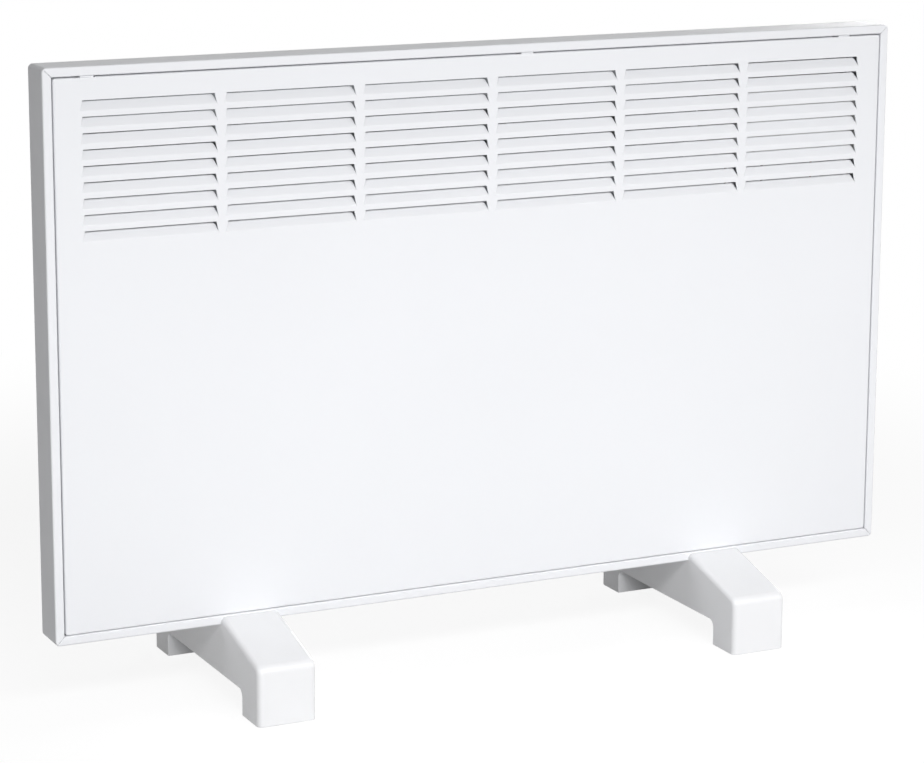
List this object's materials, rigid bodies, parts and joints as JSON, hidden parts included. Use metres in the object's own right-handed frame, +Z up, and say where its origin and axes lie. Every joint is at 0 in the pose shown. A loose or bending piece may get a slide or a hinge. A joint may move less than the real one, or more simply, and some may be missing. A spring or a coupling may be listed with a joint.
{
  "type": "wall panel convector heater",
  "caption": "Flat white panel convector heater with a louvred front, side dial and rocker switch, on moulded feet.",
  "frame": {"origin": "on the floor, under the middle of the casing, half way between the fronts and the backs of the feet", "axes": "+X to the right of a viewer in front, +Y to the back of the heater, +Z up"},
  "size_m": [0.7, 0.215, 0.478],
  "materials": {
    "white_powder_coat": "fine satin powder coat",
    "white_plastic": "smooth moulded, low gloss",
    "pale_plastic": "moulded, matt",
    "control_white": "moulded, fine matt grain",
    "control_grey": "moulded, matt",
    "black_plastic": "moulded, matt",
    "galvanised_steel": "galvanised, dull",
    "zinc_plated": "zinc plated",
    "aluminium": "as extruded",
    "element_sheath": "drawn, heat-toned",
    "ceramic": "unglazed fired clay",
    "brass": "bright",
    "copper": "drawn tube",
    "amber_lens": "clear moulded",
    "lead_brown": "sleeved",
    "lead_blue": "sleeved",
    "lead_green": "sleeved"
  },
  "bodies": {
    "heater": {"casing_frame": "white_powder_coat", "front_panel": "white_powder_coat", "panel_tabs": "white_powder_coat", "rear_cover": "white_powder_coat", "rear_cover_screws": "zinc_plated", "heat_shield": "galvanised_steel", "air_deflector": "galvanised_steel", "element_body": "aluminium", "element_rod": "element_sheath", "element_insulators": "ceramic", "element_terminals": "zinc_plated", "element_bracket_left": "galvanised_steel", "element_bracket_right": "galvanised_steel", "element_bracket_screws": "zinc_plated", "control_housing": "pale_plastic", "control_plate": "control_white", "control_plate_screws": "zinc_plated", "thermostat_body": "black_plastic", "thermostat_bulb": "copper", "power_switch_body": "black_plastic", "pilot_lamp": "amber_lens", "thermal_cutout": "zinc_plated", "tip_over_switch": "black_plastic", "terminal_block": "pale_plastic", "earth_stud": "brass", "cable_gland": "black_plastic", "gland_nut": "black_plastic", "wiring_live": "lead_brown", "wiring_load": "lead_brown", "wiring_neutral": "lead_blue", "wiring_earth": "lead_green", "foot_left": "white_plastic", "foot_right": "white_plastic", "foot_screws": "zinc_plated", "clinch_nuts": "zinc_plated"},
    "dial": {"thermostat_knob": "control_grey", "thermostat_shaft": "brass"},
    "rocker": {"power_rocker": "control_grey"}
  },
  "joints": [
    {"name": "dial_turn", "type": "hinge", "parent": "heater", "child": "dial", "pos_m": [0.338, 0.015, 0.419], "axis": [-1, 0, 0], "range_deg": [0, 270]},
    {"name": "rocker_tilt", "type": "hinge", "parent": "heater", "child": "rocker", "pos_m": [0.3374, 0.0085, 0.3895], "axis": [0, -1, 0], "range_deg": [0, 18]}
  ]
}
